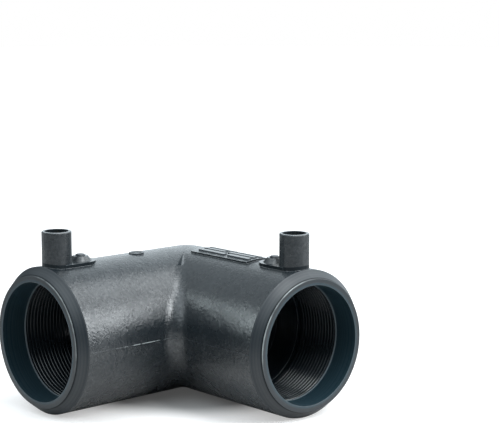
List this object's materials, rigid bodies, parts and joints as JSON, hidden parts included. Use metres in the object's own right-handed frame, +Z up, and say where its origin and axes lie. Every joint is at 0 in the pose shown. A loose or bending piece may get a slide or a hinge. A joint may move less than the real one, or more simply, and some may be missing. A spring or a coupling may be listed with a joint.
{
  "type": "electrofusion elbow",
  "caption": "Right-angle black plastic pipe elbow with stepped welding sockets, a heating wire in each bore, and a shrouded contact pin and fusion indicator on top of each arm.",
  "frame": {"origin": "centre of the elbow's square footprint, on the surface that it lies on", "axes": "+X out of socket B, -Y out of socket A, +Z up along the contact pins; the socket axes lie 31.6 mm above the surface and cross at x = -25.2 mm, y = 25.2 mm"},
  "size_m": [0.1136, 0.1136, 0.0779],
  "materials": {
    "body": "satin moulded polyethylene",
    "wire_cover": "smooth moulded cover over copper wire",
    "contact_metal": "turned",
    "indicator": "satin moulded polyethylene"
  },
  "bodies": {
    "root": {"elbow_body": "body", "heating_wire": "wire_cover", "contact_pin_a": "contact_metal", "contact_pin_b": "contact_metal", "fusion_indicator_a": "indicator", "fusion_indicator_b": "indicator"}
  },
  "joints": []
}
